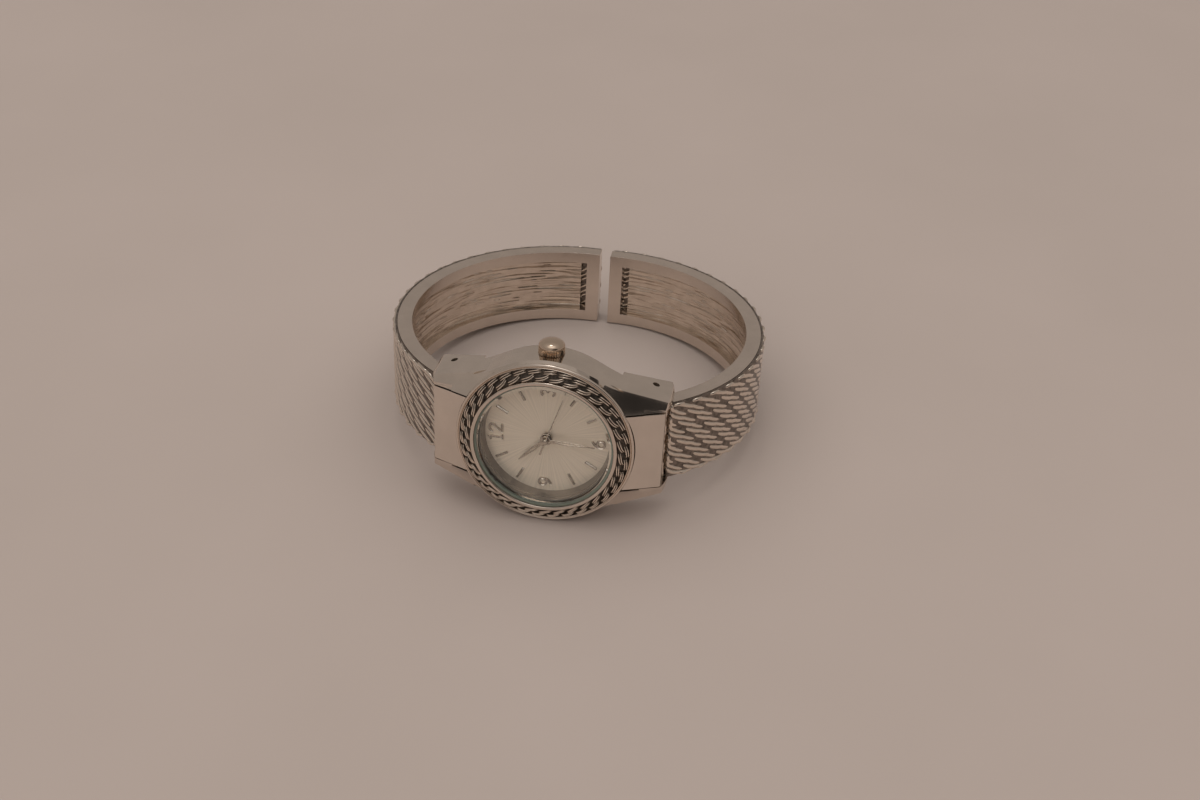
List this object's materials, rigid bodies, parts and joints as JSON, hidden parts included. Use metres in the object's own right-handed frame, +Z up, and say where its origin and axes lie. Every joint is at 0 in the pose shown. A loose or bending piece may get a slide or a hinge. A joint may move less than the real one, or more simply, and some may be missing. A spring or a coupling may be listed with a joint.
{
  "type": "cuff watch",
  "caption": "Small round quartz watch on a rigid cuff of hinged, sprung arms with chain relief; fluted crown, applied dial markers.",
  "frame": {"origin": "bottom centre of the bounding box as the watch lies on its side on a table", "axes": "+X to the dial's 6 side, +Y from the dial towards the back of the cuff, +Z up; the crown points up, tilted back with the case"},
  "size_m": [0.0646, 0.0633, 0.0311],
  "materials": {
    "case_steel": "polished",
    "bezel_steel": "polished",
    "bezel_link_steel": "polished relief over a blackened recess",
    "plate_steel": "polished, slightly dull",
    "frame_steel": "polished",
    "chain_steel": "polished relief over dark gaps",
    "inner_steel": "satin with long grooves",
    "back_steel": "satin",
    "mineral_glass": "clear, polished edge",
    "dial_silver": "fine sunray grain",
    "ring_grey": "satin",
    "applied_silver": "polished",
    "hand_silver": "polished",
    "crown_gold": "polished, pale",
    "seal_rubber": "matt",
    "gasket_plastic": "translucent white",
    "holder_plastic": "matt",
    "movement_metal": "satin",
    "movement_brass": "turned",
    "circuit_green": "lacquered board",
    "coil_copper": "wound enamelled wire",
    "core_iron": "satin",
    "cell_steel": "satin",
    "pin_steel": "turned",
    "spring_steel": "drawn wire"
  },
  "bodies": {
    "case": {"case_middle": "case_steel", "case_back": "back_steel", "case_back_gasket": "seal_rubber", "bezel_ring": "bezel_steel", "bezel_chain": "bezel_link_steel", "crystal": "mineral_glass", "crystal_gasket": "gasket_plastic", "dial_ring": "ring_grey", "dial": "dial_silver", "dial_batons": "applied_silver", "dial_numerals": "applied_silver", "movement_holder": "holder_plastic", "main_plate": "movement_metal", "train_bridge": "movement_metal", "circuit_block": "circuit_green", "coil_core": "core_iron", "coil": "coil_copper", "battery": "cell_steel", "battery_strap": "cell_steel", "crown_tube": "pin_steel", "left_cover_plate": "plate_steel", "right_cover_plate": "plate_steel", "left_hinge_pin": "pin_steel", "right_hinge_pin": "pin_steel", "left_hinge_spring": "spring_steel", "right_hinge_spring": "spring_steel"},
    "left_arm": {"left_arm_frame": "frame_steel", "left_chain_back": "inner_steel", "left_arm_chain": "chain_steel"},
    "right_arm": {"right_arm_frame": "frame_steel", "right_chain_back": "inner_steel", "right_arm_chain": "chain_steel"},
    "hour": {"hour_wheel": "movement_brass", "hour_hand": "hand_silver"},
    "minute": {"cannon_pinion": "movement_brass", "minute_hand": "hand_silver"},
    "seconds": {"seconds_arbor": "pin_steel", "second_hand": "hand_silver"},
    "crown_seat": {"crown_seal": "seal_rubber"},
    "crown": {"stem": "pin_steel", "crown": "crown_gold"}
  },
  "joints": [
    {"name": "left_arm_hinge", "type": "hinge", "parent": "case", "child": "left_arm", "pos_m": [-0.0165, -0.02168, 0.01368], "axis": [0, 0.1294, 0.9916], "range_deg": [0, 20], "stiffness_Nm_per_rad": 0.2, "springref_deg": -9.74, "deforming": ["left_hinge_spring"]},
    {"name": "right_arm_hinge", "type": "hinge", "parent": "case", "child": "right_arm", "pos_m": [0.0165, -0.02168, 0.01368], "axis": [0, -0.1294, -0.9916], "range_deg": [0, 20], "stiffness_Nm_per_rad": 0.2, "springref_deg": -9.74, "deforming": ["right_hinge_spring"]},
    {"name": "minute_turn", "type": "hinge", "parent": "case", "child": "minute", "pos_m": [0, -0.02616, 0.01426], "axis": [0, 0.9916, -0.1294], "continuous": true},
    {"name": "hour_turn", "type": "hinge", "parent": "case", "child": "hour", "pos_m": [0, -0.02616, 0.01426], "axis": [0, 0.9916, -0.1294], "continuous": true},
    {"name": "second_turn", "type": "hinge", "parent": "case", "child": "seconds", "pos_m": [0, -0.02616, 0.01426], "axis": [0, 0.9916, -0.1294], "continuous": true},
    {"name": "crown_pull", "type": "slide", "parent": "case", "child": "crown_seat", "axis": [0, 0.1294, 0.9916], "range_m": [0, 0.0009]},
    {"name": "crown_turn", "type": "hinge", "parent": "crown_seat", "child": "crown", "pos_m": [0, -0.02296, 0.02796], "axis": [0, 0.1294, 0.9916], "continuous": true}
  ],
  "couplings": [
    {"joint": "hour_turn", "follows": "minute_turn", "ratio": 0.083333}
  ]
}
